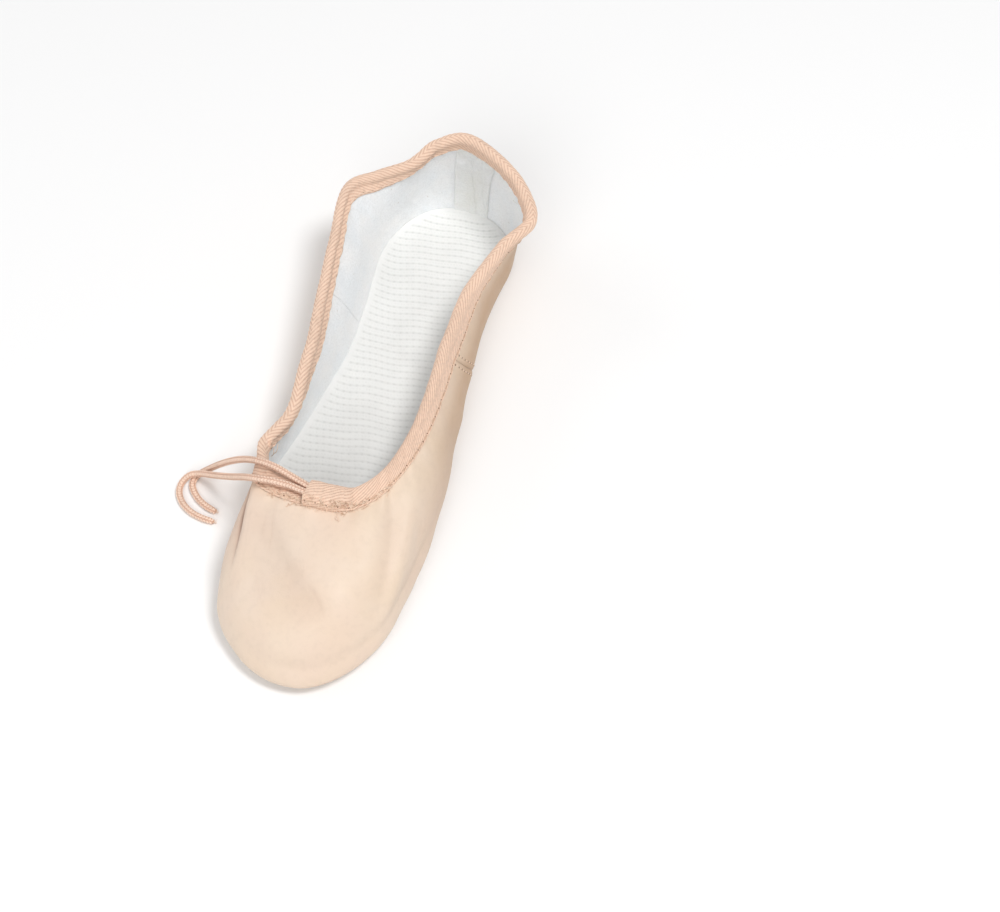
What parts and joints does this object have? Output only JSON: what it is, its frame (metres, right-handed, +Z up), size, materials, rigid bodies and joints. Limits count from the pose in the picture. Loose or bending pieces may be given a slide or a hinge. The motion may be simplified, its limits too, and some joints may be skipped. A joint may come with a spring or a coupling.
{
  "type": "ballet slipper",
  "caption": "Soft full-sole ballet slipper in pale leather with a lined foot cavity, a bound topline and a drawstring whose tails leave the throat.",
  "frame": {"origin": "centre of the slipper's bounding box at floor level, under the middle of the sole", "axes": "+Z up from the sole, +Y from the toe towards the heel, +X to the right when looking from toe to heel"},
  "size_m": [0.1108, 0.2368, 0.0544],
  "materials": {
    "upper_leather": "smooth semi-matt",
    "suede_sole": "napped suede",
    "binding_tape": "herringbone cotton tape",
    "braided_cord": "braided cotton",
    "napped_lining": "brushed cotton",
    "sock_cotton": "ribbed cotton",
    "fibre_board": "matt",
    "foam_pad": "matt foam",
    "felt_filler": "felt",
    "sewing_thread": "spun thread"
  },
  "bodies": {
    "slipper": {"outsole": "suede_sole", "lasting_filler": "felt_filler", "insole_board": "fibre_board", "insole_pad": "foam_pad", "sock_lining": "sock_cotton", "quarter_left": "upper_leather", "quarter_left_lining": "napped_lining", "vamp": "upper_leather", "vamp_lining": "napped_lining", "quarter_right": "upper_leather", "quarter_right_lining": "napped_lining", "heel_seam_tape": "napped_lining", "topline_binding": "binding_tape", "drawstring_run": "braided_cord", "binding_thread_outer": "sewing_thread", "binding_thread_inner": "sewing_thread", "side_seam_left_thread_a": "sewing_thread", "side_seam_left_thread_b": "sewing_thread", "side_seam_right_thread_a": "sewing_thread", "side_seam_right_thread_b": "sewing_thread", "heel_seam_thread_a": "sewing_thread", "heel_seam_thread_b": "sewing_thread"},
    "drawstring_tails": {"drawstring_tail_upper": "braided_cord", "drawstring_tail_lower": "braided_cord"}
  },
  "joints": [
    {"name": "drawstring_pull", "type": "slide", "parent": "slipper", "child": "drawstring_tails", "axis": [-0.97, 0.243, 0], "range_m": [0, 0.008]}
  ]
}
